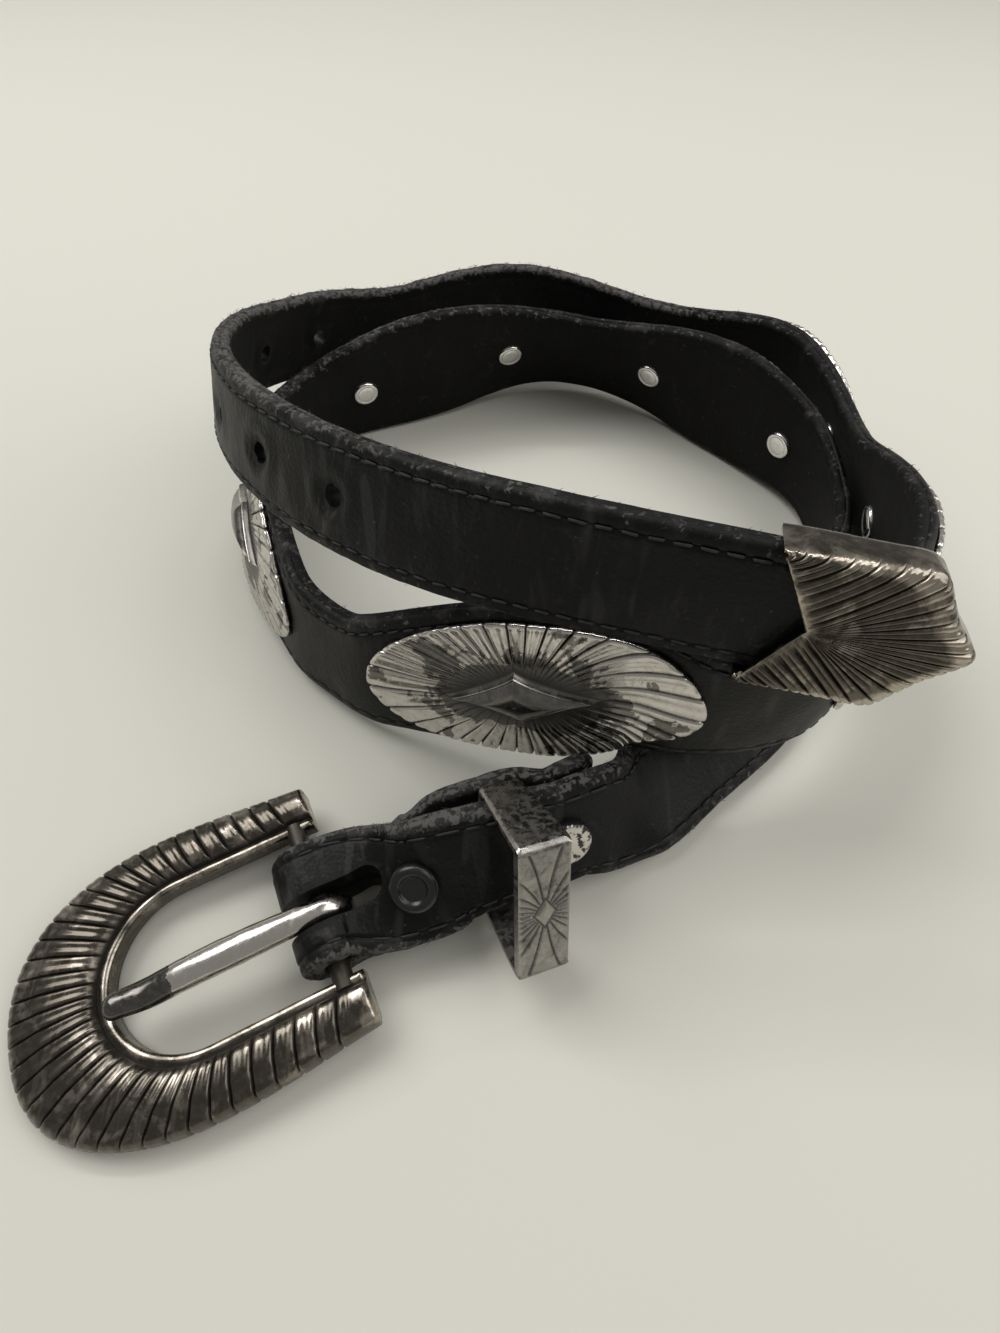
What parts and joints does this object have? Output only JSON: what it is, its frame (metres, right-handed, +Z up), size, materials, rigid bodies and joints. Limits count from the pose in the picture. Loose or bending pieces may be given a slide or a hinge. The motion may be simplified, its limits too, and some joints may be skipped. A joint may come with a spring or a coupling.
{
  "type": "concho belt",
  "caption": "Black leather western belt lying coiled, with fluted oval conchos along a scalloped strap, a ribbed horseshoe buckle, a metal keeper and a ribbed metal tip.",
  "frame": {"origin": "middle of the belt's outline seen from above, on the table it lies on", "axes": "+Z up from the table, +Y from the buckle towards the back of the coil, +X towards the side of the metal tip"},
  "size_m": [0.1616, 0.1896, 0.0637],
  "materials": {
    "leather": "worn satin",
    "concho_silver": "worn silver plate with dark tarnish",
    "rivet_nickel": "polished nickel",
    "snap_enamel": "glossy black enamel over nickel, chipped",
    "tip_metal": "dark antiqued nickel",
    "keeper_metal": "dark antiqued nickel, mottled",
    "buckle_metal": "dark antiqued nickel, polished on the ribs",
    "tongue_metal": "worn silver plate, dark at its tip"
  },
  "bodies": {
    "belt": {"strap": "leather", "concho_1": "concho_silver", "concho_2": "concho_silver", "concho_3": "concho_silver", "concho_4": "concho_silver", "concho_5": "concho_silver", "concho_6": "concho_silver", "concho_7": "concho_silver", "rivet_1a": "rivet_nickel", "rivet_1b": "rivet_nickel", "rivet_2a": "rivet_nickel", "rivet_2b": "rivet_nickel", "rivet_3a": "rivet_nickel", "rivet_3b": "rivet_nickel", "rivet_4a": "rivet_nickel", "rivet_4b": "rivet_nickel", "rivet_5a": "rivet_nickel", "rivet_5b": "rivet_nickel", "rivet_6a": "rivet_nickel", "rivet_6b": "rivet_nickel", "rivet_7a": "rivet_nickel", "rivet_7b": "rivet_nickel", "snap_1": "snap_enamel", "snap_2": "snap_enamel", "belt_tip": "tip_metal", "keeper": "keeper_metal"},
    "buckle": {"buckle_frame": "buckle_metal"},
    "tongue": {"buckle_tongue": "tongue_metal"}
  },
  "joints": [
    {"name": "buckle_swing", "type": "hinge", "parent": "belt", "child": "buckle", "pos_m": [-0.03372, -0.06376, 0.006], "axis": [-0.4271, 0.9042, 0], "range_deg": [0, 45]},
    {"name": "tongue_swing", "type": "hinge", "parent": "buckle", "child": "tongue", "pos_m": [-0.03372, -0.06376, 0.006], "axis": [-0.4271, 0.9042, 0], "range_deg": [0, 80]}
  ]
}
